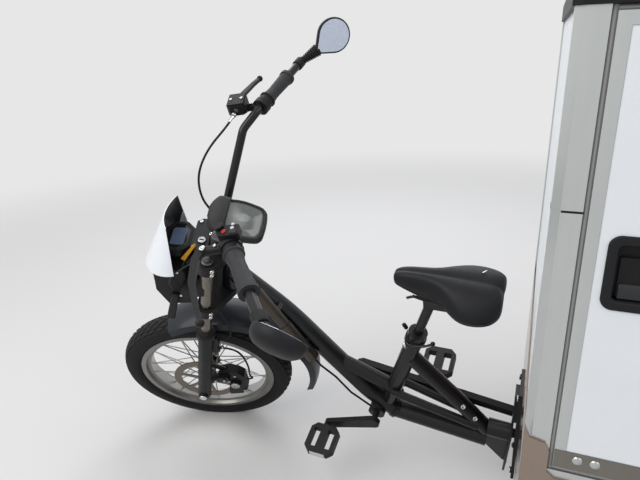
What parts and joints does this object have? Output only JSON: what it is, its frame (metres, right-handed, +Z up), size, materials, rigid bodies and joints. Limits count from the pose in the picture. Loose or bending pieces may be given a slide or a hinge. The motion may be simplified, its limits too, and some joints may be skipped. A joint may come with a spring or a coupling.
{
  "type": "electric cargo trike",
  "caption": "Leaning electric cargo trike with a hinged driver section, fork, pedals and saddle in front of a tall lockable box with a side door and rear doors.",
  "frame": {"origin": "on the floor under the middle of the whole vehicle as parked", "axes": "+X the vehicle's left, +Y its rear, +Z up"},
  "size_m": [1.2504, 2.8126, 1.403],
  "materials": {
    "frame_black": "satin black enamel",
    "black_metal": "black anodised",
    "fork_silver": "satin",
    "rim_silver": "satin",
    "disc_steel": "brushed",
    "axle_steel": "brushed",
    "tyre_rubber": "matt",
    "grip_rubber": "matt",
    "saddle_black": "matt",
    "guard_grey": "satin",
    "black_plastic": "matt",
    "gloss_black": "gloss",
    "white_plastic": "gloss",
    "lamp_glass": "clear",
    "red_lens": "gloss",
    "bag_fabric": "matt",
    "panel_white": "satin",
    "body_aluminium": "satin anodised",
    "skirt_metal": "polished, reflective",
    "chassis_black": "satin",
    "floor_wood": "ribbed"
  },
  "bodies": {
    "chassis": {"chassis_frame": "chassis_black", "cross_members": "chassis_black", "lean_pivot": "black_metal", "rear_axle": "axle_steel", "battery_case": "black_plastic", "cargo_floor": "floor_wood", "body_posts": "body_aluminium", "front_wall": "panel_white", "left_panel": "panel_white", "right_wall": "panel_white", "roof_cap": "black_plastic", "left_skirt": "skirt_metal", "right_skirt": "skirt_metal", "front_apron": "skirt_metal", "rear_lamps": "red_lens"},
    "left_door": {"door_frame": "body_aluminium", "door_panel": "panel_white", "door_handle": "black_plastic"},
    "rear_door_left": {"rear_door_left": "panel_white"},
    "rear_door_right": {"rear_door_right": "panel_white"},
    "rear_wheel_left": {"rear_left_tyre": "tyre_rubber", "rear_left_rim": "rim_silver"},
    "rear_wheel_right": {"rear_right_tyre": "tyre_rubber", "rear_right_rim": "rim_silver"},
    "driver_section": {"driver_frame": "frame_black", "seat_post": "frame_black", "saddle": "saddle_black", "under_cylinder": "black_plastic", "frame_cable": "black_plastic", "chain_guard": "gloss_black"},
    "crankset": {"cranks": "black_metal"},
    "left_pedal": {"left_pedal": "black_plastic"},
    "right_pedal": {"right_pedal": "black_plastic"},
    "fork": {"fork_clamps": "black_metal", "stanchions": "fork_silver", "fork_legs": "black_metal", "mudguard": "guard_grey", "front_caliper": "black_metal", "brake_hoses": "black_plastic", "handlebar": "frame_black", "grips": "grip_rubber", "left_controls": "black_plastic", "right_controls": "black_plastic", "mirrors": "gloss_black", "fairing": "white_plastic", "lamp_housing": "black_plastic", "headlamp": "lamp_glass", "display": "black_plastic", "instrument_plate": "black_metal", "phone_bag": "bag_fabric"},
    "front_wheel": {"front_tyre": "tyre_rubber", "front_rim": "rim_silver", "front_disc": "disc_steel"}
  },
  "joints": [
    {"name": "left_door", "type": "hinge", "parent": "chassis", "child": "left_door", "pos_m": [0.38276, 0.63934, 0.97], "axis": [0, 0, 1], "range_deg": [0, 110]},
    {"name": "rear_door_left", "type": "hinge", "parent": "chassis", "child": "rear_door_left", "pos_m": [0.33576, 1.39034, 0.97], "axis": [0, 0, -1], "range_deg": [0, 170]},
    {"name": "rear_door_right", "type": "hinge", "parent": "chassis", "child": "rear_door_right", "pos_m": [-0.57824, 1.39034, 0.97], "axis": [0, 0, 1], "range_deg": [0, 170]},
    {"name": "rear_wheel_left", "type": "hinge", "parent": "chassis", "child": "rear_wheel_left", "pos_m": [0.27876, 0.74834, 0.287], "axis": [1, 0, 0], "continuous": true},
    {"name": "rear_wheel_right", "type": "hinge", "parent": "chassis", "child": "rear_wheel_right", "pos_m": [-0.52124, 0.74834, 0.287], "axis": [1, 0, 0], "continuous": true},
    {"name": "lean", "type": "hinge", "parent": "chassis", "child": "driver_section", "pos_m": [-0.12124, -0.16166, 0.27243], "axis": [0, -0.9979, 0.0645], "range_deg": [0, 41.6]},
    {"name": "steering", "type": "hinge", "parent": "driver_section", "child": "fork", "pos_m": [0.0339, -0.89349, 0.72902], "axis": [0.3405, 0.3413, 0.8761], "range_deg": [-63.6, 26.4]},
    {"name": "front_wheel", "type": "hinge", "parent": "fork", "child": "front_wheel", "pos_m": [-0.12966, -1.12853, 0.26322], "axis": [0.8538, 0.278, -0.4401], "continuous": true},
    {"name": "cranks", "type": "hinge", "parent": "driver_section", "child": "crankset", "pos_m": [-0.13006, -0.51555, 0.27205], "axis": [0.9348, -0.0229, -0.3544], "continuous": true},
    {"name": "left_pedal", "type": "hinge", "parent": "crankset", "child": "left_pedal", "pos_m": [-0.02565, -0.67218, 0.15408], "axis": [0.9348, -0.0229, -0.3544], "continuous": true},
    {"name": "right_pedal", "type": "hinge", "parent": "crankset", "child": "right_pedal", "pos_m": [-0.23447, -0.35893, 0.39001], "axis": [0.9348, -0.0229, -0.3544], "continuous": true}
  ]
}
